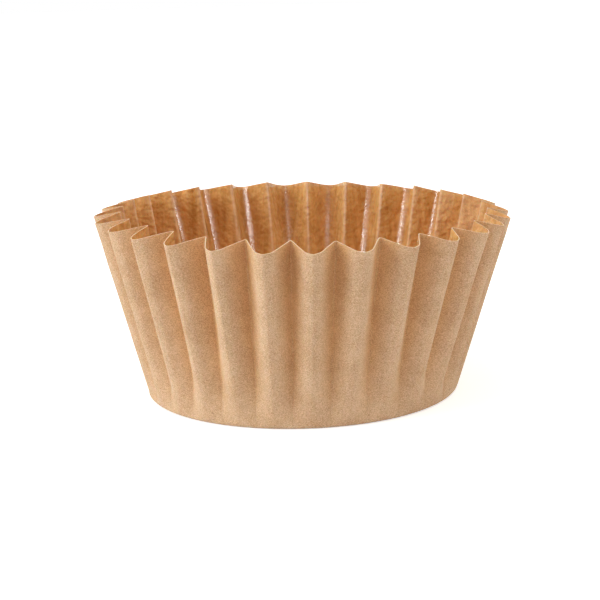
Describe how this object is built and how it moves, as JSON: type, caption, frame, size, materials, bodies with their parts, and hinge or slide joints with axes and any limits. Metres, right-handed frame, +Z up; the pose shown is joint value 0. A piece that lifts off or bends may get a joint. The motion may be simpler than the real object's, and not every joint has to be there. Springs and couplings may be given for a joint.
{
  "type": "cupcake liner",
  "caption": "Fluted paper cup for baking, with a flat round base and a pleated wall that flares out to an open rim.",
  "frame": {"origin": "centre of the flat base's underside, on the table", "axes": "+Z up out of the open mouth; the middle of one lobe on +X, and of another on -Y, which is the front"},
  "size_m": [0.07, 0.07, 0.0307],
  "materials": {
    "kraft_paper": "matte unbleached kraft outside, greaseproof sheen inside"
  },
  "bodies": {
    "root": {"liner": "kraft_paper"}
  },
  "joints": []
}
